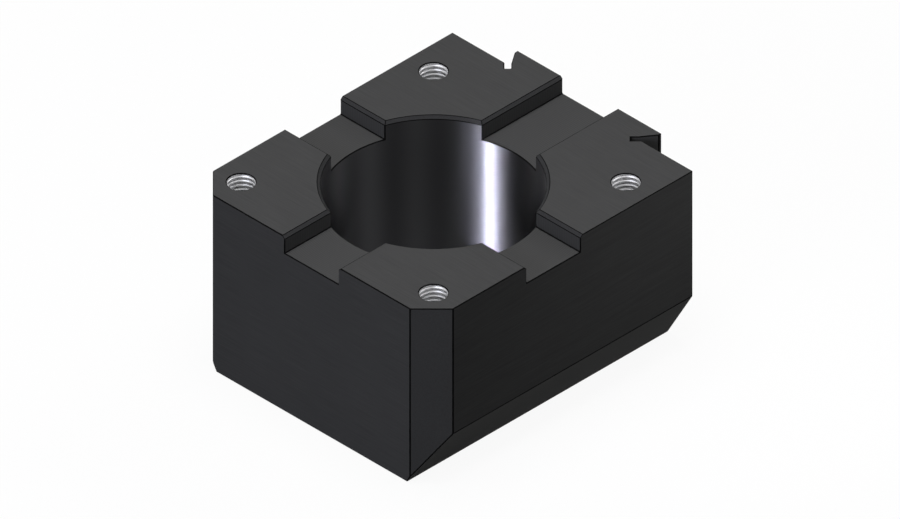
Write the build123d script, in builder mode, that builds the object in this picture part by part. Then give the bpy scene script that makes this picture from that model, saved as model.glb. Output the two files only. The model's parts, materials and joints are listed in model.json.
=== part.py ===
from build123d import *
from math import cos, radians, sin, tan
import os

os.makedirs("parts", exist_ok=True)

# The block is one piece of steel. Its origin is on the bore axis at the bottom face,
# +Z is up, the dovetail stands on the +Y side, and X runs across the two plain sides.

# Body
body_width = 100.0  # across the two sides
body_height = 63.0
front_reach = 50.8  # from the bore axis to the front face
back_reach = 58.0  # from the bore axis to the face that carries the dovetail
corner_chamfer = 9.0  # on the two upright edges of the front face
bevel_height = 18.0  # of the sloped band along the foot of each side
bevel_angle = 30.0  # of that band from the upright

# Seat of the tool holder
bore_diameter = 66.5
key_slot_width = 22.2  # two slots cross over the bore
key_slot_depth = 6.0
seat_chamfer = 1.0  # along the top edges of the bore and of the key slots

# Tapped holes at the corners of a square, drilled for a 10 mm coarse thread
bolt_spacing = 80.0
tap_drill_diameter = 8.5
tap_drill_depth = 26.0  # of the full diameter
drill_point_angle = 118.0

# Dovetail on the back face, full height
dovetail_width = 60.0  # across its blunted tips
dovetail_height = 7.0  # how far it stands out
dovetail_angle = 55.0  # between a flank and the back face
dovetail_blunt = 1.2  # the length of the flat that blunts each tip

# Relief slots that clear the corners at the foot of the dovetail
relief_width = 2.0
relief_depth = 1.4  # past the corner
relief_bite = 0.2  # taken off the flank at the corner
relief_angle = 45.0  # of the slot from the back face

# Places that follow from the sizes above
side_x = body_width / 2
tip_y = back_reach + dovetail_height
root_x = dovetail_width / 2 - (dovetail_height - dovetail_blunt) / tan(radians(dovetail_angle))
bevel_run = bevel_height * tan(radians(bevel_angle))
slot_side = key_slot_width / 2
slot_floor_z = body_height - key_slot_depth
drill_radius = tap_drill_diameter / 2
drill_point_height = drill_radius / tan(radians(drill_point_angle / 2))


with BuildPart() as fixture_block:
    # Plan of the body, with the dovetail growing out of its back edge
    with BuildSketch() as plan:
        with Locations((0, (back_reach - front_reach) / 2)):
            Rectangle(body_width, front_reach + back_reach)
        chamfer(plan.vertices().group_by(Axis.Y)[0], corner_chamfer)
        with BuildLine():
            Polyline(
                (-root_x, back_reach),
                (-dovetail_width / 2, tip_y - dovetail_blunt),
                (-dovetail_width / 2, tip_y),
                (dovetail_width / 2, tip_y),
                (dovetail_width / 2, tip_y - dovetail_blunt),
                (root_x, back_reach),
                close=True,
            )
        make_face()

        # Each relief slot runs from inside the body out past the tip of the dovetail
        slant = radians(relief_angle)
        relief_reach = dovetail_height / sin(slant)
        along = (relief_reach - relief_depth) / 2
        across = relief_width / 2 - relief_bite
        relief_x = root_x + along * cos(slant) + across * sin(slant)
        relief_y = back_reach + along * sin(slant) - across * cos(slant)
        for side in (-1, 1):
            with Locations((side * relief_x, relief_y)):
                Rectangle(
                    relief_reach + relief_depth,
                    relief_width,
                    rotation=side * relief_angle,
                    mode=Mode.SUBTRACT,
                )
    extrude(amount=body_height)

    # Sloped bands along the foot of both sides
    with BuildSketch(Plane.XZ):
        for side in (-1, 1):
            with BuildLine():
                Polyline(
                    (side * (side_x - bevel_run), 0),
                    (side * side_x, 0),
                    (side * side_x, bevel_height),
                    close=True,
                )
            make_face()
    extrude(amount=tip_y, both=True, mode=Mode.SUBTRACT)

    # Key slots, one along each axis, cut from the top face
    with BuildSketch(Plane.XY.offset(slot_floor_z)):
        Rectangle(body_width, key_slot_width)
        Rectangle(key_slot_width, 2 * tip_y)
    extrude(amount=key_slot_depth, mode=Mode.SUBTRACT)

    # Bore for the shank of the tool holder
    Hole(bore_diameter / 2)

    # Chamfer round the inner edges of the four pads that the slots leave
    top_edges = fixture_block.edges().group_by(Axis.Z)[-1]
    rim_edges = top_edges.filter_by(GeomType.CIRCLE)
    slot_edges = top_edges.filter_by(
        lambda edge: min(abs(edge.center().X), abs(edge.center().Y)) < slot_side + seat_chamfer / 2
    )
    chamfer(rim_edges + slot_edges, seat_chamfer)

    # Tapped holes with the cone that the drill leaves
    with BuildSketch(Plane.XY.offset(body_height)):
        with GridLocations(bolt_spacing, bolt_spacing, 2, 2):
            Circle(drill_radius)
    extrude(amount=-tap_drill_depth, mode=Mode.SUBTRACT)
    with Locations(Plane.XY.offset(body_height - tap_drill_depth - drill_point_height)):
        with GridLocations(bolt_spacing, bolt_spacing, 2, 2):
            Cone(
                0,
                drill_radius,
                drill_point_height,
                align=(Align.CENTER, Align.CENTER, Align.MIN),
                mode=Mode.SUBTRACT,
            )

fixture_block.part.label = "fixture_block"
export_step(fixture_block.part, "parts/fixture_block.step")
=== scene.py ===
# %% [markdown]
# # A bench block for building up turret tool holders
#
# The real object is one block of steel. It is sawn, milled and ground, bored for the shank of a
# tool holder, and then blackened in hot salts. Four holes at its corners are tapped afterwards,
# so their threads are bare metal. A measured solid of the block already exists. This lesson
# keeps every size of it and gives it what a solid leaves out: broken edges, cut threads, and
# the finish that each tool leaves. Lengths in Blender are metres, so a small factor turns
# millimetres into them.

# %% Load the measured block
import json
import math

import bmesh
import bpy
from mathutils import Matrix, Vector


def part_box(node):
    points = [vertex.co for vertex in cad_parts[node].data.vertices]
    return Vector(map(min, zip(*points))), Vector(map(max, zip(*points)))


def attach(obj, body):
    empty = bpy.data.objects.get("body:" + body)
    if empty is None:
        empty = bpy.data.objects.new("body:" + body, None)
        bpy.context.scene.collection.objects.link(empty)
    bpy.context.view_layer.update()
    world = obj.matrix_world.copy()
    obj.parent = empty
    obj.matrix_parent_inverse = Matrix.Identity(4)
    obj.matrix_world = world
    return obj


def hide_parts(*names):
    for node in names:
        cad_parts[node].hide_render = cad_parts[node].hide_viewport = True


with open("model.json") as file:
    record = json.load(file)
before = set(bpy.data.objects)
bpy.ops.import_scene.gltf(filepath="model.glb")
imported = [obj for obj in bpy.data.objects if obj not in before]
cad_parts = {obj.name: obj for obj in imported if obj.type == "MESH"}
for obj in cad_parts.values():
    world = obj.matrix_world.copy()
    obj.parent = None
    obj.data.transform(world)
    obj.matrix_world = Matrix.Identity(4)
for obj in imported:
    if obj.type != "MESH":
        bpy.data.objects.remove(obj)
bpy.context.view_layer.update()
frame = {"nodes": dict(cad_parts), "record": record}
MM = 0.001

block_low, block_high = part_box("fixture_block")
print("block, mm:", [round(size / MM, 2) for size in block_high - block_low])

# %% [markdown]
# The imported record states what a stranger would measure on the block: the bore for the shank,
# the square of bolt holes and the height of the key slots' floors. Reading those sizes here,
# and not typing them again, keeps the threads and the finishes where the holes and slots
# really are.

# %% Read the sizes of the holes and slots
mounts = {mount["name"]: mount for mount in frame["record"]["mounts"]}
bore_radius = mounts["tool_bore"]["dims"]["r_mm"] * MM
drill_radius = mounts["flange_bolts"]["dims"]["hole_r_mm"] * MM
hole_spacing = mounts["flange_bolts"]["dims"]["spacing_x_mm"] * MM
slot_floor = mounts["key_slot_x"]["pos_m"][2]
print(f"bore {2 * bore_radius / MM} mm, drilled holes {2 * drill_radius / MM} mm,",
      f"slots {(block_high.z - slot_floor) / MM:.1f} mm deep")

# %% [markdown]
# ## The camera
#
# A drawing office shows a block in parallel projection: lines that are parallel on the block
# stay parallel in the picture. Blender calls that an orthographic camera. Its scale is how
# many metres the picture's width covers, so it follows from the picture's width in pixels and
# from how many pixels stand for a millimetre. The camera is aimed by saying which pixel the
# middle of the bore's mouth falls on.

# %% Place the camera
PICTURE_WIDTH, PICTURE_HEIGHT = 900, 519
PIXELS_PER_MM = 3.4
VIEW_AZIMUTH, VIEW_ELEVATION = math.radians(45), math.radians(35.2)
BORE_MOUTH_PIXEL = (433.5, 181.7)
CAMERA_DISTANCE = 600 * MM

towards_camera = Vector((
    math.sin(VIEW_AZIMUTH) * math.cos(VIEW_ELEVATION),
    -math.cos(VIEW_AZIMUTH) * math.cos(VIEW_ELEVATION),
    math.sin(VIEW_ELEVATION),
))
picture_right = Vector((math.cos(VIEW_AZIMUTH), math.sin(VIEW_AZIMUTH), 0))
picture_up = towards_camera.cross(picture_right)

bore_mouth = Vector((0, 0, block_high.z))
right_of_mouth = (PICTURE_WIDTH / 2 - BORE_MOUTH_PIXEL[0]) / PIXELS_PER_MM * MM
below_mouth = (PICTURE_HEIGHT / 2 - BORE_MOUTH_PIXEL[1]) / PIXELS_PER_MM * MM
aim = bore_mouth + picture_right * right_of_mouth - picture_up * below_mouth

camera_data = bpy.data.cameras.new("camera")
camera_data.type = "ORTHO"
camera_data.ortho_scale = PICTURE_WIDTH / PIXELS_PER_MM * MM
camera = bpy.data.objects.new("camera", camera_data)
camera.location = aim + towards_camera * CAMERA_DISTANCE
camera.rotation_euler = (-towards_camera).to_track_quat("-Z", "Y").to_euler()
bpy.context.scene.collection.objects.link(camera)
bpy.context.scene.camera = camera
bpy.context.scene.view_settings.view_transform = "Standard"
print(f"the picture is {camera_data.ortho_scale / MM:.1f} mm wide")

# %% [markdown]
# ## Helpers for colours and nodes
#
# Colours are written as hex values, the way a paint chart gives them. Those are sRGB numbers,
# bent to suit a screen, and a shader counts light, so one function straightens them.

# %% Colours
def to_linear(colour):
    """A hex colour such as "#484848" as linear red, green, blue and an alpha of one."""
    shares = [int(colour[i : i + 2], 16) / 255 for i in (1, 3, 5)]
    linear = [s / 12.92 if s <= 0.04045 else ((s + 0.055) / 1.055) ** 2.4 for s in shares]
    return (*linear, 1.0)


WHITE = to_linear("#FFFFFF")
print("blackened steel's grey as light:", round(to_linear("#484848")[0], 4))

# %% [markdown]
# Nodes could be placed by hand, but then nobody could repeat the work. One function adds a node
# to any tree, sets it up, and links or fills its inputs in the same call. Material trees and
# geometry trees are both built with it. Two short forms of it do sums, on numbers and on
# vectors, and a last function starts a material with an empty tree.

# %% Nodes
NODE_STEP = 190


def add_node(tree, kind, inputs=None, **settings):
    """Adds one node to a tree. A value in inputs is set, and an output socket there is linked."""
    node = tree.nodes.new(kind)
    node.location.x = NODE_STEP * len(tree.nodes)
    for name, value in settings.items():
        setattr(node, name, value)
    for key, value in (inputs or {}).items():
        if isinstance(value, bpy.types.NodeSocket):
            tree.links.new(value, node.inputs[key])
        else:
            node.inputs[key].default_value = value
    return node


def calculate(tree, operation, *values):
    """The result of one sum, such as MAXIMUM or SINE, on numbers or sockets."""
    return add_node(
        tree, "ShaderNodeMath", dict(enumerate(values)), operation=operation
    ).outputs[0]


def calculate_vector(tree, operation, *values):
    """The result of one sum on vectors, each given as numbers or as a socket."""
    return add_node(
        tree, "ShaderNodeVectorMath", dict(enumerate(values)), operation=operation
    ).outputs[0]


def new_material(name):
    """A material with an empty tree, and that tree to fill."""
    material = bpy.data.materials.new(name)
    material.use_nodes = True
    material.node_tree.nodes.clear()
    return material, material.node_tree


print("node boxes lie", NODE_STEP, "apart in the editor")

# %% [markdown]
# ## The white surroundings
#
# The block stands on white paper in a white room. If that room were simply lit until it was
# white, it would throw so much light back that the dark sides of the block would turn grey.
# So the room is white only for the rays that look at it: straight from the camera, in a
# reflection, or through glass. Light that scatters finds a duller room.

# %% The room
ROOM_GREY = 0.07


def seen_share(tree):
    """One for a ray that looks at the surroundings, none for scattered light."""
    path = add_node(tree, "ShaderNodeLightPath").outputs
    looks = calculate(tree, "MAXIMUM", path["Is Camera Ray"], path["Is Glossy Ray"])
    return calculate(tree, "MAXIMUM", looks, path["Is Transmission Ray"])


world = bpy.data.worlds.new("white_room")
world.use_nodes = True
tree = world.node_tree
tree.nodes.clear()
room_seen = add_node(tree, "ShaderNodeBackground", {"Color": WHITE, "Strength": 1.0})
room_light = add_node(tree, "ShaderNodeBackground", {"Color": WHITE, "Strength": ROOM_GREY})
room = add_node(
    tree, "ShaderNodeMixShader",
    {0: seen_share(tree), 1: room_light.outputs[0], 2: room_seen.outputs[0]},
)
add_node(tree, "ShaderNodeOutputWorld", {"Surface": room.outputs[0]})
bpy.context.scene.world = world
print("the room lights at", ROOM_GREY, "of white")

# %% [markdown]
# The paper follows the same rule. A small share of it stays real matte card, which takes the
# block's soft shadow, and the rest simply shows white. Light that bounces off it finds a
# duller card. It lies a hair below the block, because two faces in one plane show as speckles.

# %% The paper
PAPER_SIZE = 4.0
PAPER_GAP = 0.01 * MM
SHADOW_SHARE = 0.07
PAPER_BOUNCE = "#626260"

paper_finish, tree = new_material("white_paper")
paper_matte = add_node(tree, "ShaderNodeBsdfDiffuse", {"Color": WHITE})
paper_dull = add_node(tree, "ShaderNodeBsdfDiffuse", {"Color": to_linear(PAPER_BOUNCE)})
paper_white = add_node(tree, "ShaderNodeEmission", {"Color": WHITE, "Strength": 1.0})
paper_look = add_node(
    tree, "ShaderNodeMixShader",
    {0: SHADOW_SHARE, 1: paper_white.outputs[0], 2: paper_matte.outputs[0]},
)
paper = add_node(
    tree, "ShaderNodeMixShader",
    {0: seen_share(tree), 1: paper_dull.outputs[0], 2: paper_look.outputs[0]},
)
add_node(tree, "ShaderNodeOutputMaterial", {"Surface": paper.outputs[0]})


def lay_sheet(name, outline, height, finish):
    """A flat sheet with this outline, which belongs to the stage and not to the block."""
    sheet = bmesh.new()
    sheet.faces.new([sheet.verts.new((x, y, height)) for x, y in outline])
    data = bpy.data.meshes.new(name)
    sheet.to_mesh(data)
    sheet.free()
    data.materials.append(finish)
    sheet_object = bpy.data.objects.new(name, data)
    bpy.context.scene.collection.objects.link(sheet_object)


half = PAPER_SIZE / 2
square = [(-half, -half), (half, -half), (half, half), (-half, half)]
lay_sheet("paper_floor", square, block_low.z - 2 * PAPER_GAP, paper_finish)
print("paper", PAPER_SIZE, "m wide")

# %% [markdown]
# Under the bore, which goes right through, lies a round card of its own. The camera sees it
# white, like the paper round it. For every other ray it glows by itself, with no lamp behind it:
# a painted glow, which the bore's polished wall mirrors as a dull, even shine, because white
# paper there would shine up the bore.

# %% The card under the bore
CARD_GLOW = 0.35  # of white, for every ray but the camera's own
CARD_MARGIN = 3 * MM  # how far the card reaches past the bore
ROUND_SEGMENTS = 64

card_finish, tree = new_material("glowing_card")
path = add_node(tree, "ShaderNodeLightPath").outputs
card_glow = add_node(tree, "ShaderNodeEmission", {"Color": WHITE, "Strength": CARD_GLOW})
card_white = add_node(tree, "ShaderNodeEmission", {"Color": WHITE, "Strength": 1.0})
card = add_node(
    tree, "ShaderNodeMixShader",
    {0: path["Is Camera Ray"], 1: card_glow.outputs[0], 2: card_white.outputs[0]},
)
add_node(tree, "ShaderNodeOutputMaterial", {"Surface": card.outputs[0]})

card_radius = bore_radius + CARD_MARGIN
turns = [2 * math.pi * step / ROUND_SEGMENTS for step in range(ROUND_SEGMENTS)]
disc = [(card_radius * math.cos(turn), card_radius * math.sin(turn)) for turn in turns]
lay_sheet("card_under_the_bore", disc, block_low.z - PAPER_GAP, card_finish)
print(f"card {2 * card_radius / MM:.1f} mm wide")

# %% [markdown]
# ## The lamps
#
# A lamp's level here is how bright it alone would make white card that faces it, where one is
# white. An area lamp of P watts at d metres gives P / (pi * d)^2 of that, which the helper
# turns round. A lamp may also be kept off matte surfaces, so that it shows only where
# something is polished enough to mirror it. A lamp's place is given by two angles: how far it
# stands to the left of the camera, and how high.

# %% Helpers for lamps
LAMP_WHITE, LAMP_COOL = "#FFFFFF", "#EEF1FF"
LAMP_DISTANCE = 1.0


def direction(azimuth_from_view, elevation):
    """A unit vector, with the azimuth in degrees to the left of the camera."""
    azimuth = VIEW_AZIMUTH - math.radians(azimuth_from_view)
    level = math.cos(math.radians(elevation))
    return Vector((
        math.sin(azimuth) * level, -math.cos(azimuth) * level, math.sin(math.radians(elevation))
    ))


def place_lamp(data, place, target, gloss_only):
    """Puts a lamp at a place, turned towards its target, and keeps it out of the picture."""
    lamp = bpy.data.objects.new(data.name, data)
    lamp.location = place
    lamp.rotation_euler = (place - target).to_track_quat("Z", "Y").to_euler()
    lamp.visible_camera = False
    lamp.visible_diffuse = not gloss_only
    bpy.context.scene.collection.objects.link(lamp)


def hang_lamp(name, place, target, width, level, tint=LAMP_WHITE, gloss_only=False):
    """A soft square lamp that lights its target to this level."""
    data = bpy.data.lights.new(name, "AREA")
    data.size = width
    data.color = to_linear(tint)[:3]
    data.energy = level * (math.pi * (place - target).length) ** 2
    place_lamp(data, place, target, gloss_only)


def above_mouth(azimuth_from_view, elevation):
    """The place one lamp's distance from the bore's mouth in this direction, in degrees."""
    return bore_mouth + direction(azimuth_from_view, elevation) * LAMP_DISTANCE


print("at one metre a level of one takes", round(math.pi**2, 2), "W")

# %% [markdown]
# Five soft lamps light the block. The widest hangs overhead and makes the top the lightest
# face. A cool one stands low before the front face, and a small one close to the right face
# makes that face lighter towards its far end. Two weak ones stand on the left and behind, so
# that those sides don't go black when they are looked at. Two more are wide sheets that only
# polished metal can mirror. They give the left and right of the bore their dull shine and add
# nothing to the matte faces. The last one, a small lamp of the same kind, makes the bright spot
# on the turns of the threads.

# %% Hang the lamps
RIGHT_LAMP_AIM = Vector((block_high.x, 45 * MM, 45 * MM))
RIGHT_LAMP_OFFSET = Vector((80, 20, 35)) * MM

hang_lamp("top_lamp", above_mouth(45, 86), bore_mouth, width=0.6, level=0.68)
hang_lamp("front_lamp", above_mouth(38, 20), bore_mouth, width=0.4, level=0.365, tint=LAMP_COOL)
hang_lamp(
    "right_lamp", RIGHT_LAMP_AIM + RIGHT_LAMP_OFFSET, RIGHT_LAMP_AIM, width=0.06, level=0.21
)
hang_lamp("left_lamp", above_mouth(135, 20), bore_mouth, width=0.4, level=0.17)
hang_lamp("back_lamp", above_mouth(-130, 35), bore_mouth, width=0.4, level=0.19)
hang_lamp("right_sheet", above_mouth(-100, 45), bore_mouth, width=0.9, level=1.25, gloss_only=True)
hang_lamp("left_sheet", above_mouth(120, 45), bore_mouth, width=0.9, level=0.8, gloss_only=True)
hang_lamp("thread_lamp", above_mouth(78, 42), bore_mouth, width=0.12, level=0.3, gloss_only=True)

# %% [markdown]
# The bore shows a hard white streak from top to bottom. On a bored wall the fine rings of the
# feed spread a reflection up and down, so a lamp shows as one bright line along the bore.
# Black oxide sends back only a few hundredths of the light, so this line needs far more light
# than the rest of the block may get. A photographer would put a snoot on a lamp: a tube that
# lets out a narrow beam. Blender's area lamp has a spread setting for that. The beam is a
# strip that crosses the bore's mouth to one side of its middle, over the stretch of wall that
# turns it to the camera. Its sides fade out softly, and so do the flanks of the streak. Light
# through the rest of the mouth would bounce round the wall twice and draw a second streak.

# %% Aim a snooted lamp down the bore
STREAK_AZIMUTH, STREAK_ELEVATION = 62.1, 42
STREAK_LEVEL, STREAK_TINT = 31, "#EDEDFF"
SNOOT_DISTANCE = 150 * MM
BEAM_SIDEWAYS = 0.52 * bore_radius  # from the middle of the mouth
BEAM_WIDTH = 0.36 * bore_radius
BEAM_FADE = 0.16 * bore_radius  # how far each side of the beam takes to fade out

beam_middle = bore_mouth + direction(STREAK_AZIMUTH + 90, 0) * BEAM_SIDEWAYS
beam_place = beam_middle + direction(STREAK_AZIMUTH, STREAK_ELEVATION) * SNOOT_DISTANCE
half_chord = math.sqrt(bore_radius**2 - BEAM_SIDEWAYS**2)

snoot = bpy.data.lights.new("bore_lamp", "AREA")
snoot.shape = "RECTANGLE"
snoot.size = BEAM_WIDTH
snoot.size_y = 2 * (half_chord + BEAM_FADE) * math.sin(math.radians(STREAK_ELEVATION))
snoot.spread = 2 * math.atan(BEAM_FADE / SNOOT_DISTANCE)
snoot.color = to_linear(STREAK_TINT)[:3]
snoot.energy = STREAK_LEVEL * math.pi * snoot.size * snoot.size_y
place_lamp(snoot, beam_place, beam_middle, gloss_only=True)
print(f"beam {BEAM_WIDTH / MM:.1f} by {snoot.size_y / MM:.1f} mm, {snoot.energy:.2f} W")

# %% [markdown]
# ## Helpers for the finishes
#
# The same steps come back in every finish of the block. A pattern mixes two greys, it stands
# out as a very shallow relief, and one surface shader takes both. The gloss of the blackened
# skin is set far below a common plastic's or paint's. With any more, a face that is seen at a
# low angle would mirror the white paper and turn grey.

# %% Helpers for the finishes
OXIDE_GLOSS = 0.004
RELIEF_HEIGHT = 0.02 * MM


def mix_colours(tree, share, first, second, **settings):
    """A colour between two others. A mix node's colours are inputs 6 and 7 and output 2."""
    return add_node(
        tree, "ShaderNodeMix", {0: share, 6: first, 7: second}, data_type="RGBA", **settings
    ).outputs[2]


def raise_relief(tree, heights, strength, distance=RELIEF_HEIGHT):
    """Normals that lean as they would on a surface with these heights."""
    return add_node(
        tree, "ShaderNodeBump", {"Height": heights, "Strength": strength, "Distance": distance}
    ).outputs[0]


def coat_with_oxide(tree, skin, roughness, relief):
    """Ends a material's tree with blackened steel."""
    oxide = add_node(
        tree, "ShaderNodeBsdfPrincipled",
        {
            "Base Color": skin, "Roughness": roughness,
            "Specular IOR Level": OXIDE_GLOSS, "Normal": relief,
        },
    )
    add_node(tree, "ShaderNodeOutputMaterial", {"Surface": oxide.outputs[0]})


print("the deepest relief is", RELIEF_HEIGHT / MM, "mm")

# %% [markdown]
# ## Black oxide on ground faces
#
# Hot black oxide is a magnetite skin about a thousandth of a millimetre thick. It is a
# charcoal grey with hardly any gloss, and it follows the surface under it, so the fine straight
# scratches of the grinding wheel still show. The scratches here come from noise that is
# stretched along them. A wheel's real scratches lie about 0.05 mm apart, too fine to see at
# this distance, so they are drawn a third of a millimetre apart. They run level on every side:
# along Y on the two side faces and along X everywhere else, and the face's own normal says
# which.

# %% Which way the scratches run
SCRATCH_SPACING = 0.33 * MM
SCRATCH_LENGTH = 14 * MM
SIDE_FACING = 0.9  # the least that a side face's normal points along X
across, along = 1 / SCRATCH_SPACING, 1 / SCRATCH_LENGTH

ground_finish, tree = new_material("black_oxide_ground")
spot = add_node(tree, "ShaderNodeTexCoord").outputs
facing = add_node(tree, "ShaderNodeSeparateXYZ", {0: spot["Normal"]}).outputs
sideways = calculate(tree, "ABSOLUTE", facing["X"])
on_side = calculate(tree, "GREATER_THAN", sideways, SIDE_FACING)
along_x = add_node(
    tree, "ShaderNodeMapping", {"Vector": spot["Object"], "Scale": (along, across, across)}
).outputs[0]
along_y = add_node(
    tree, "ShaderNodeMapping", {"Vector": spot["Object"], "Scale": (across, along, across)}
).outputs[0]
lie = add_node(  # a mix node's vectors are inputs 4 and 5 and output 1
    tree, "ShaderNodeMix", {0: on_side, 4: along_x, 5: along_y}, data_type="VECTOR"
).outputs[1]
scratches = add_node(
    tree, "ShaderNodeTexNoise", {"Vector": lie, "Scale": 1.0, "Detail": 2.0}
).outputs[0]
print("scratches every", SCRATCH_SPACING / MM, "mm,", SCRATCH_LENGTH / MM, "mm long")

# %% [markdown]
# The scratches shift the grey a little, the roughness a little more, and stand out as a
# relief. Salts don't colour a block quite evenly either, so broad soft clouds darken it by a
# few hundredths.

# %% Grey, roughness and relief of the ground faces
CLOUD_SIZE = 16 * MM

clouds = add_node(
    tree, "ShaderNodeTexNoise",
    {"Vector": spot["Object"], "Scale": 1 / CLOUD_SIZE, "Detail": 3.0},
).outputs[0]
scratched = mix_colours(tree, scratches, to_linear("#444444"), to_linear("#525252"))
clouded = mix_colours(tree, clouds, WHITE, to_linear("#F2F2F2"))
skin = mix_colours(tree, 1.0, scratched, clouded, blend_type="MULTIPLY")
satin = add_node(
    tree, "ShaderNodeMapRange", {"Value": scratches, "To Min": 0.48, "To Max": 0.62}
).outputs[0]
coat_with_oxide(tree, skin, satin, raise_relief(tree, scratches, strength=0.12))
print("clouds about", CLOUD_SIZE / MM, "mm wide")

# %% [markdown]
# ## Black oxide on milled slots
#
# The key slots are cut with an end mill that travels out from the bore. Each tooth leaves a
# shallow arc across the floor, one feed step apart, and upright lines on the walls. Rings
# about the bore's axis make both: they cross every slot as arcs, and they meet the walls as
# upright lines. The feed is near 0.1 mm a tooth, and here the arcs are drawn 0.7 mm apart so
# that they can be seen.

# %% Black oxide on milled slots
ARC_SPACING = 0.7 * MM
WAVES_PER_UNIT = math.pi / 10  # Blender's wave texture repeats every pi tenths of a unit

milled_finish, tree = new_material("black_oxide_milled")
spot = add_node(tree, "ShaderNodeTexCoord").outputs
arcs = add_node(
    tree, "ShaderNodeTexWave",
    {
        "Vector": spot["Object"], "Scale": WAVES_PER_UNIT / ARC_SPACING,
        "Distortion": 1.5, "Detail": 2.0, "Detail Scale": 0.4,
    },
    wave_type="RINGS", rings_direction="Z",
).outputs[0]
skin = mix_colours(tree, arcs, to_linear("#484848"), to_linear("#4E4E4E"))
satin = add_node(
    tree, "ShaderNodeMapRange", {"Value": arcs, "To Min": 0.5, "To Max": 0.6}
).outputs[0]
coat_with_oxide(tree, skin, satin, raise_relief(tree, arcs, strength=0.1))
print("milling arcs every", ARC_SPACING / MM, "mm")

# %% [markdown]
# ## Black oxide on chamfers and broken edges
#
# The 1 mm chamfers round the seat come from a chamfer mill. Their grey is painted darker than the
# ground faces', as painted shade for the light that some of them turn away from. The other
# edges are only broken, by 0.3 mm, with a file or a stone. Such a coarse narrow surface holds
# the oil that the block is dipped in after blackening, and reads as a thin black line round
# every face. Both finishes are a dark grey, broken up by noise as fine as the file's teeth.

# %% Black oxide on chamfers and broken edges
FILE_TOOTH = 0.4 * MM


def coarse_oxide(name, dark, light, roughness):
    """Blackened steel after a coarse tool, mottled between two greys."""
    material, tree = new_material(name)
    spot = add_node(tree, "ShaderNodeTexCoord").outputs
    teeth = add_node(
        tree, "ShaderNodeTexNoise", {"Vector": spot["Object"], "Scale": 1 / FILE_TOOTH}
    ).outputs[0]
    skin = mix_colours(tree, teeth, to_linear(dark), to_linear(light))
    coat_with_oxide(tree, skin, roughness, raise_relief(tree, teeth, strength=0.2))
    return material


# the chamfers' darker grey is painted shade
shaded_chamfer_finish = coarse_oxide("black_oxide_chamfered_painted_shade", "#323233", "#424243", 0.55)
edge_finish = coarse_oxide("black_oxide_filed", "#0A0A0A", "#161616", 0.6)
print("file teeth every", FILE_TOOTH / MM, "mm")

# %% [markdown]
# ## Black oxide on the bored wall
#
# The bore is the one polished surface. A single point tool leaves rings so fine that the wall
# reflects like dark metal, sharp round the bore and smeared along it. A metallic shader with
# its anisotropy at full, and its tangent along the bore's axis, gives that. Its colour is how
# much light the skin sends back, about a twentieth. A boring bar also chatters a whole number
# of times in each turn, which leaves soft upright marks, here fifteen of them. A point's X and
# Y give the angle round the bore, and the sine of fifteen times that angle draws the marks.
# The feed rings are a shallow wave up the wall, drawn wider than the real 0.1 mm.

# %% Black oxide on the bored wall
CHATTER_MARKS = 15
FEED_RING = 0.8 * MM

bored_finish, tree = new_material("black_oxide_bored")
spot = add_node(tree, "ShaderNodeTexCoord").outputs
place = add_node(tree, "ShaderNodeSeparateXYZ", {0: spot["Object"]}).outputs
turn = calculate(tree, "ARCTAN2", place["X"], place["Y"])
waves = calculate(tree, "MULTIPLY", turn, CHATTER_MARKS)
chatter = calculate(tree, "SINE", waves)
light_marks = add_node(
    tree, "ShaderNodeMapRange", {"Value": chatter, "From Min": 1.0, "From Max": -1.0}
).outputs[0]
skin = mix_colours(tree, light_marks, to_linear("#3B3B3D"), to_linear("#48484A"))
rings = add_node(
    tree, "ShaderNodeTexWave",
    {"Vector": spot["Object"], "Scale": WAVES_PER_UNIT / FEED_RING, "Distortion": 0.5},
    bands_direction="Z",
).outputs[0]
relief = raise_relief(tree, rings, strength=0.05, distance=RELIEF_HEIGHT / 2)
along_bore = add_node(tree, "ShaderNodeCombineXYZ", {"Z": 1.0}).outputs[0]
bored = add_node(
    tree, "ShaderNodeBsdfPrincipled",
    {
        "Base Color": skin, "Metallic": 1.0, "Roughness": 0.3, "Anisotropic": 1.0,
        "Tangent": along_bore, "Normal": relief,
    },
)
add_node(tree, "ShaderNodeOutputMaterial", {"Surface": bored.outputs[0]})
print(f"chatter marks every {2 * math.pi * bore_radius / CHATTER_MARKS / MM:.1f} mm")

# %% [markdown]
# ## Bare steel in the threads
#
# The threads are cut after blackening, so they are bright steel. Their roots, and the bottom of
# the hole below the last turn, are painted dark: painted shade, where little light gets in. How
# deep a point lies in the thread is its distance from the hole's axis. The four axes lie at the
# same distance from X and from Y, so taking the size of both coordinates folds the four holes onto
# one, and a single measure serves them all.

# %% Where the thread's shade is painted
MAJOR_RADIUS = 5.0 * MM
THREAD_DEPTH = 20 * MM
PITCH = 1.5 * MM
ROOT_SHADE_DEPTH = 0.1 * MM

thread_finish, tree = new_material("bare_steel_thread")
spot = add_node(tree, "ShaderNodeTexCoord").outputs
folded = calculate_vector(tree, "ABSOLUTE", spot["Object"])
from_axis = calculate_vector(
    tree, "SUBTRACT", folded, (hole_spacing / 2, hole_spacing / 2, 0)
)
flat = calculate_vector(tree, "MULTIPLY", from_axis, (1, 1, 0))
radius = add_node(tree, "ShaderNodeVectorMath", {0: flat}, operation="LENGTH").outputs["Value"]
painted_root_shade = add_node(
    tree, "ShaderNodeMapRange",
    {
        "Value": radius,
        "From Min": MAJOR_RADIUS - 2 * ROOT_SHADE_DEPTH, "From Max": MAJOR_RADIUS - ROOT_SHADE_DEPTH,
    },
).outputs[0]
height = add_node(tree, "ShaderNodeSeparateXYZ", {0: spot["Object"]}).outputs["Z"]
thread_end = block_high.z - THREAD_DEPTH
painted_bottom_shade = add_node(
    tree, "ShaderNodeMapRange",
    {"Value": height, "From Min": thread_end, "From Max": thread_end - PITCH},
).outputs[0]
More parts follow.
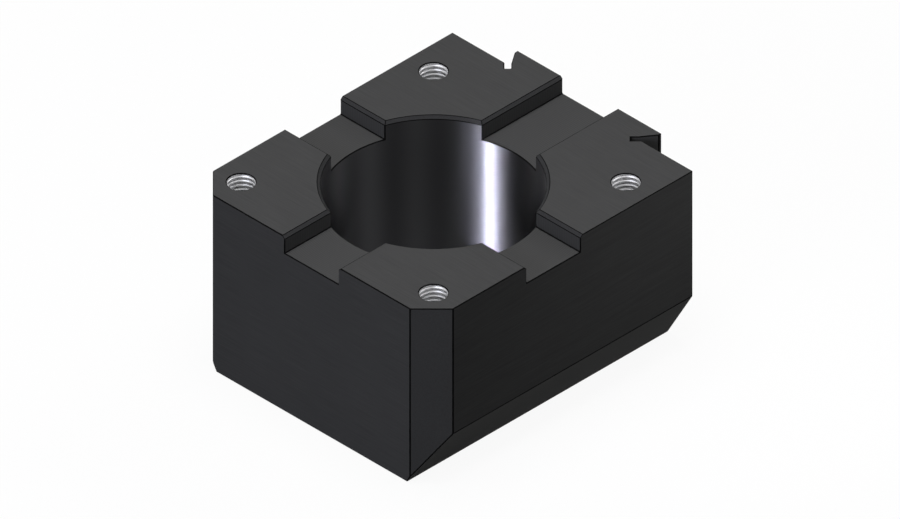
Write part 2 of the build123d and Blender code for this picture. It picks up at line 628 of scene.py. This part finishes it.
painted_shade = calculate(tree, "MAXIMUM", painted_root_shade, painted_bottom_shade)
# the roots' dark grey, printed below as oil, is painted shade
print(f"oil in the roots from {(MAJOR_RADIUS - ROOT_SHADE_DEPTH) / MM:.1f} mm out")

# %% [markdown]
# A tap tears the metal slightly, which makes it satin and not mirror bright. Noise as fine as
# the tears shifts the steel's grey and its roughness together.

# %% Bare steel in the threads
TEAR_SIZE = 0.25 * MM

tears = add_node(
    tree, "ShaderNodeTexNoise", {"Vector": spot["Object"], "Scale": 1 / TEAR_SIZE}
).outputs[0]
torn = mix_colours(tree, tears, to_linear("#C2C2C4"), to_linear("#E0E0E1"))
# the dark grey mixed in here is painted shade in the roots and the hole's bottom
steel = mix_colours(tree, painted_shade, torn, to_linear("#202022"))
satin = add_node(
    tree, "ShaderNodeMapRange", {"Value": tears, "To Min": 0.38, "To Max": 0.5}
).outputs[0]
bare = add_node(
    tree, "ShaderNodeBsdfPrincipled", {"Base Color": steel, "Metallic": 1.0, "Roughness": satin}
)
add_node(tree, "ShaderNodeOutputMaterial", {"Surface": bare.outputs[0]})
print("tears about", TEAR_SIZE / MM, "mm wide")

# %% [markdown]
# ## The block's own shape
#
# The measured solid arrives as loose triangles. Welding their corners and merging the ones that
# lie in one plane gives back the faces that a machinist would name. The four drilled holes come
# out rather coarse, so they are plugged here and drilled again with more sides.

# %% Weld the triangles and plug the holes
WELD = 0.001 * MM
FLAT_ANGLE = math.radians(0.3)


def hole_distance(point):
    """How far a point is from the nearest bolt hole's axis."""
    return math.hypot(abs(point.x) - hole_spacing / 2, abs(point.y) - hole_spacing / 2)


shape = bmesh.new()
shape.from_mesh(frame["nodes"]["fixture_block"].data)
bmesh.ops.remove_doubles(shape, verts=shape.verts, dist=WELD)
print("welded:", len(shape.verts), "points,", len(shape.faces), "triangles")

hole_faces = [
    face for face in shape.faces
    if all(hole_distance(vert.co) < drill_radius + WELD for vert in face.verts)
]
hole_bottom = min(vert.co.z for face in hole_faces for vert in face.verts)
bmesh.ops.delete(shape, geom=hole_faces, context="FACES")
bmesh.ops.holes_fill(shape, edges=[edge for edge in shape.edges if edge.is_boundary], sides=0)
bmesh.ops.dissolve_limit(
    shape, angle_limit=FLAT_ANGLE, use_dissolve_boundaries=False,
    verts=shape.verts, edges=shape.edges, delimit=set(),
)
print("plugged and merged:", len(shape.verts), "points,", len(shape.faces), "faces")

# %% [markdown]
# Every face now gets the finish of the tool that cut it. The rules are the ones a person would
# use: what lies on the bore's radius is bored, the slots' floors and what stands upright above
# them are milled, what slopes above them is a chamfer, and the rest is ground. The faces still
# carry the normals they came with, which would shade them as before, so those go.

# %% Give each face its finish
GROUND, MILLED, CHAMFERED, FILED, BORED = range(5)
UPRIGHT = 0.01  # the most that an upright face's normal points up or down
ON_RADIUS = 0.01 * MM


def finish_of(face):
    """Which finish a face of the block has, from where it lies."""
    heights = [vert.co.z for vert in face.verts]
    upright = abs(face.normal.z) < UPRIGHT
    if upright and all(abs(vert.co.xy.length - bore_radius) < ON_RADIUS for vert in face.verts):
        return BORED
    if max(heights) < slot_floor + WELD and min(heights) > slot_floor - WELD:
        return MILLED
    if min(heights) > slot_floor - WELD and upright:
        return MILLED
    if min(heights) > slot_floor and face.normal.z < 1 - UPRIGHT:
        return CHAMFERED
    return GROUND


for face in shape.faces:
    face.material_index = finish_of(face)
block_data = bpy.data.meshes.new("fixture_block_dressed")
shape.to_mesh(block_data)
shape.free()
block_data.attributes.remove(block_data.attributes["custom_normal"])
finishes = (  # in the order of the numbers above, and then the one that only the tools bring
    ground_finish, milled_finish, shaded_chamfer_finish, edge_finish, bored_finish, thread_finish
)
for finish in finishes:
    block_data.materials.append(finish)
block = bpy.data.objects.new("fixture_block_dressed", block_data)
bpy.context.scene.collection.objects.link(block)
for index, finish in enumerate(finishes):
    print(finish.name, sum(face.material_index == index for face in block_data.polygons), "faces")

# %% [markdown]
# ## Cutting with a tool
#
# On the machine a hole is made by a tool that takes metal away, and Blender's Boolean modifier
# does the same: the tool is a shape of its own, and the block loses what lies inside it.
# Afterwards the result becomes the block's own mesh, and the tool is put away. An edge that
# doesn't join exactly two faces would be a tear in the block, so those are counted each time.

# %% Helpers for cutting
def make_plain(target):
    """Turns what an object's modifiers make into its own mesh."""
    bpy.context.view_layer.update()
    graph = bpy.context.evaluated_depsgraph_get()
    plain = bpy.data.meshes.new_from_object(target.evaluated_get(graph), depsgraph=graph)
    target.modifiers.clear()
    worked, name = target.data, target.data.name
    target.data = plain
    bpy.data.meshes.remove(worked)
    plain.name = name


def measure_mesh(data):
    """Prints a mesh's size and how many of its edges don't join exactly two faces."""
    check = bmesh.new()
    check.from_mesh(data)
    open_edges = sum(not edge.is_manifold for edge in check.edges)
    volume = check.calc_volume() / MM**3
    print(f"{data.name}: {len(check.verts)} points, {len(check.faces)} faces,",
          f"{open_edges} open edges, {volume:.0f} mm3")
    check.free()


def cut(target, tool):
    """Takes the tool's shape out of the target and puts the tool away."""
    modifier = target.modifiers.new("cut", "BOOLEAN")
    modifier.operation = "DIFFERENCE"
    modifier.solver = "EXACT"
    modifier.material_mode = "TRANSFER"
    modifier.object = tool
    make_plain(target)
    bpy.data.objects.remove(tool)
    measure_mesh(target.data)


measure_mesh(block.data)

# %% [markdown]
# Each tool's whole shape comes from a tree of Geometry Nodes. The tree takes the tool's sizes
# as named inputs, so they can be changed without touching the nodes. Its last steps are the
# same for every tool: a copy stands at each corner of the hole square, and all of them get the
# tool's finish, which the cut hands on to the block.

# %% Helpers for the tools
def new_shape_tree(name, sizes):
    """A geometry tree with a named input for each size, and each input's identifier."""
    tree = bpy.data.node_groups.new(name, "GeometryNodeTree")
    sockets = {
        size_name: tree.interface.new_socket(
            size_name, in_out="INPUT", socket_type=kind
        ).identifier
        for size_name, (kind, _) in sizes.items()
    }
    tree.interface.new_socket("Geometry", in_out="OUTPUT", socket_type="NodeSocketGeometry")
    return tree, sockets


def repeat_at_holes(tree, tool_shape, given):
    """Puts a tool's shape at the corners of the hole square and gives it its finish."""
    corners = add_node(
        tree, "GeometryNodeMeshGrid",
        {
            "Size X": given["Hole Spacing"], "Size Y": given["Hole Spacing"],
            "Vertices X": 2, "Vertices Y": 2,
        },
    ).outputs["Mesh"]
    placed = add_node(
        tree, "GeometryNodeInstanceOnPoints", {"Points": corners, "Instance": tool_shape}
    ).outputs[0]
    realized = add_node(tree, "GeometryNodeRealizeInstances", {"Geometry": placed}).outputs[0]
    finished = add_node(
        tree, "GeometryNodeSetMaterial", {"Geometry": realized, "Material": given["Finish"]}
    ).outputs[0]
    add_node(tree, "NodeGroupOutput", {"Geometry": finished})


def build_tool(name, tree, sockets, sizes):
    """An object whose whole shape a geometry tree makes, as a plain mesh."""
    tool = bpy.data.objects.new(name, bpy.data.meshes.new(name))
    bpy.context.scene.collection.objects.link(tool)
    maker = tool.modifiers.new(name, "NODES")
    maker.node_group = tree
    for size_name, (_, value) in sizes.items():
        maker[sockets[size_name]] = value
    make_plain(tool)
    measure_mesh(tool.data)
    return tool


print(f"hole axes {hole_spacing / 2 / MM:.1f} mm from X and from Y")

# %% [markdown]
# ## The drill
#
# One twist drill makes all four holes: a cylinder with a 118 degree point. It could be drawn
# point by point, but the same shape at four corners is what Geometry Nodes are for. A cone
# makes the point, its wide end drawn upwards makes the shank, and a grid of two by two points
# says where the drill goes down.

# %% Drill the four holes
DRILL_SEGMENTS = 64
POINT_ANGLE = math.radians(118)
OVERSHOOT = 2 * MM  # how far the drill still stands out of the block

point_height = drill_radius / math.tan(POINT_ANGLE / 2)
drill_sizes = {
    "Radius": ("NodeSocketFloat", drill_radius),
    "Point": ("NodeSocketFloat", point_height),
    "Shank": ("NodeSocketFloat", block_high.z + OVERSHOOT - hole_bottom - point_height),
    "Bottom": ("NodeSocketFloat", hole_bottom),
    "Hole Spacing": ("NodeSocketFloat", hole_spacing),
    "Segments": ("NodeSocketInt", DRILL_SEGMENTS),
    "Finish": ("NodeSocketMaterial", thread_finish),
}
tree, sockets = new_shape_tree("drill", drill_sizes)
given = add_node(tree, "NodeGroupInput").outputs
point = add_node(
    tree, "GeometryNodeMeshCone",
    {
        "Vertices": given["Segments"], "Radius Top": given["Radius"], "Radius Bottom": 0.0,
        "Depth": given["Point"],
    },
).outputs
shank = add_node(
    tree, "GeometryNodeExtrudeMesh",
    {
        "Mesh": point["Mesh"], "Selection": point["Top"], "Offset Scale": given["Shank"],
        "Individual": False,
    },
).outputs["Mesh"]
down = add_node(tree, "ShaderNodeCombineXYZ", {"Z": given["Bottom"]}).outputs[0]
drill_shape = add_node(
    tree, "GeometryNodeTransform", {"Geometry": shank, "Translation": down}
).outputs[0]
repeat_at_holes(tree, drill_shape, given)
cut(block, build_tool("drill", tree, sockets, drill_sizes))

# %% [markdown]
# ## Broken edges
#
# No edge of a handled block is left sharp. A Bevel modifier takes 0.3 mm off every edge that
# turns by more than 20 degrees, with one flat face, as a file does. The edges of a chamfer are
# blunt already and need only half of that, so each edge carries its share as a bevel weight.
# The new faces get the filed finish, which draws the dark line round each face. The holes are
# drilled before this, so their rims are broken too, and tapped after it, so the threads start
# clean.

# %% Break the edges
EDGE_BREAK = 0.3 * MM
EDGE_ANGLE = math.radians(20)
CHAMFER_SHARE = 0.5  # of the full break, beside a chamfer

drilled = bmesh.new()
drilled.from_mesh(block.data)
weights = block.data.attributes.new("bevel_weight_edge", "FLOAT", "EDGE")
for edge in drilled.edges:
    if edge.calc_face_angle(0) > EDGE_ANGLE:
        chamfered = any(face.material_index == CHAMFERED for face in edge.link_faces)
        weights.data[edge.index].value = CHAMFER_SHARE if chamfered else 1.0
drilled.free()

edge_break = block.modifiers.new("edge_break", "BEVEL")
edge_break.width = EDGE_BREAK
edge_break.segments = 1
edge_break.limit_method = "WEIGHT"
edge_break.material = FILED
edge_break.miter_outer = "MITER_SHARP"
make_plain(block)
measure_mesh(block.data)

# %% [markdown]
# ## The threads
#
# A 10 mm coarse thread turns once in 1.5 mm, to the right, so it sinks as it is driven in
# clockwise. Its groove is a 60 degree V with a small flat at the root. A bump texture could
# fake it, but these holes are open to view, and a bolt hole is judged by its thread, so it is
# cut for real. Geometry Nodes sweep the groove's section along a helix, which gives the shape
# of the metal that a tap takes out. The section reaches inside the drilled hole, so that the
# cut is clean, and both ends of the helix lean in to the hole's axis, as a thread runs out.

# %% Size the tap
FIRST_GROOVE = 0.1 * MM  # how far the topmost turn lies below the top face
REACH_INSIDE = 0.25 * MM
ROOT_FLAT = PITCH / 8
GROOVE_ANGLE = math.radians(60)
RUN_OUT_TURNS = 0.6
RUN_OUT_LEAN = 0.2  # of the way to the hole's axis
TURN_SEGMENTS = 48

inner_radius = drill_radius - REACH_INSIDE
groove_depth = MAJOR_RADIUS - inner_radius
tap_sizes = {
    "Middle Radius": ("NodeSocketFloat", (MAJOR_RADIUS + inner_radius) / 2),
    "Groove Depth": ("NodeSocketFloat", groove_depth),
    "Root Width": ("NodeSocketFloat", ROOT_FLAT),
    "Mouth Width": ("NodeSocketFloat", ROOT_FLAT + 2 * groove_depth * math.tan(GROOVE_ANGLE / 2)),
    "Length": ("NodeSocketFloat", THREAD_DEPTH),
    "Turns": ("NodeSocketFloat", THREAD_DEPTH / PITCH),
    "Bottom": ("NodeSocketFloat", block_high.z - FIRST_GROOVE - THREAD_DEPTH),
    "Run Out Turns": ("NodeSocketFloat", RUN_OUT_TURNS),
    "Run Out Lean": ("NodeSocketFloat", RUN_OUT_LEAN),
    "Hole Spacing": ("NodeSocketFloat", hole_spacing),
    "Segments": ("NodeSocketInt", TURN_SEGMENTS),
    "Finish": ("NodeSocketMaterial", thread_finish),
}
tap_tree, tap_sockets = new_shape_tree("tap", tap_sizes)
given = add_node(tap_tree, "NodeGroupInput").outputs
print(f"groove {groove_depth / MM:.2f} mm deep, {THREAD_DEPTH / PITCH:.1f} turns")

# %% [markdown]
# The helix is Blender's own spiral curve with both radii alike. How far a point lies from the
# nearer end, counted in turns, says how much it leans in: fully at the very end and not at all
# after about half a turn.

# %% Wind the helix
helix = add_node(
    tap_tree, "GeometryNodeCurveSpiral",
    {
        "Resolution": given["Segments"], "Rotations": given["Turns"],
        "Start Radius": given["Middle Radius"], "End Radius": given["Middle Radius"],
        "Height": given["Length"],
    },
).outputs[0]
along = add_node(tap_tree, "GeometryNodeSplineParameter").outputs[0]
to_go = calculate(tap_tree, "SUBTRACT", 1.0, along)
from_end = calculate(tap_tree, "MINIMUM", along, to_go)
turns_from_end = calculate(tap_tree, "MULTIPLY", from_end, given["Turns"])
lean = add_node(
    tap_tree, "ShaderNodeMapRange",
    {
        "Value": turns_from_end, "From Max": given["Run Out Turns"],
        "To Min": given["Run Out Lean"], "To Max": 0.0,
    },
).outputs[0]
spot = add_node(tap_tree, "GeometryNodeInputPosition").outputs[0]
to_axis = calculate_vector(tap_tree, "MULTIPLY", spot, (-1, -1, 0))
inwards = add_node(
    tap_tree, "ShaderNodeVectorMath", {0: to_axis, "Scale": lean}, operation="SCALE"
).outputs[0]
up = add_node(tap_tree, "ShaderNodeCombineXYZ", {"Z": given["Bottom"]}).outputs[0]
moved = calculate_vector(tap_tree, "ADD", inwards, up)
helix = add_node(
    tap_tree, "GeometryNodeSetPosition", {"Geometry": helix, "Offset": moved}
).outputs[0]
helix = add_node(
    tap_tree, "GeometryNodeSetCurveNormal", {"Curve": helix}, mode="Z_UP"
).outputs[0]
print("helix nodes:", len(tap_tree.nodes))

# %% [markdown]
# Blender's four-sided curve can be a trapezoid, which is the groove's section: wide at its
# mouth and an eighth of the pitch at its root. Swept along the helix, with its ends closed, it
# is a solid coil like the metal that the tap takes out. The same grid that placed the drills
# places the four coils, and the block is cut once more.

# %% Sweep the groove and tap the holes
groove = add_node(
    tap_tree, "GeometryNodeCurvePrimitiveQuadrilateral",
    {
        "Height": given["Groove Depth"], "Bottom Width": given["Mouth Width"],
        "Top Width": given["Root Width"], "Offset": 0.0,
    },
    mode="TRAPEZOID",
).outputs[0]
tap_shape = add_node(
    tap_tree, "GeometryNodeCurveToMesh",
    {"Curve": helix, "Profile Curve": groove, "Fill Caps": True},
).outputs[0]
repeat_at_holes(tap_tree, tap_shape, given)
cut(block, build_tool("tap", tap_tree, tap_sockets, tap_sizes))

# %% [markdown]
# ## Smooth walls and sharp edges
#
# The bore and the threads are many flat facets that stand for a curve, so every face is shaded
# smooth, and only edges that turn by more than a facet's angle are marked sharp. Then the
# finished block takes the measured solid's place: it rides on the only body there is.

# %% Shade it and hand it over
FACET_ANGLE = math.radians(12)

for face in block.data.polygons:
    face.use_smooth = True
block.data.set_sharp_from_angle(angle=FACET_ANGLE)
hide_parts("fixture_block")
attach(block, "root")
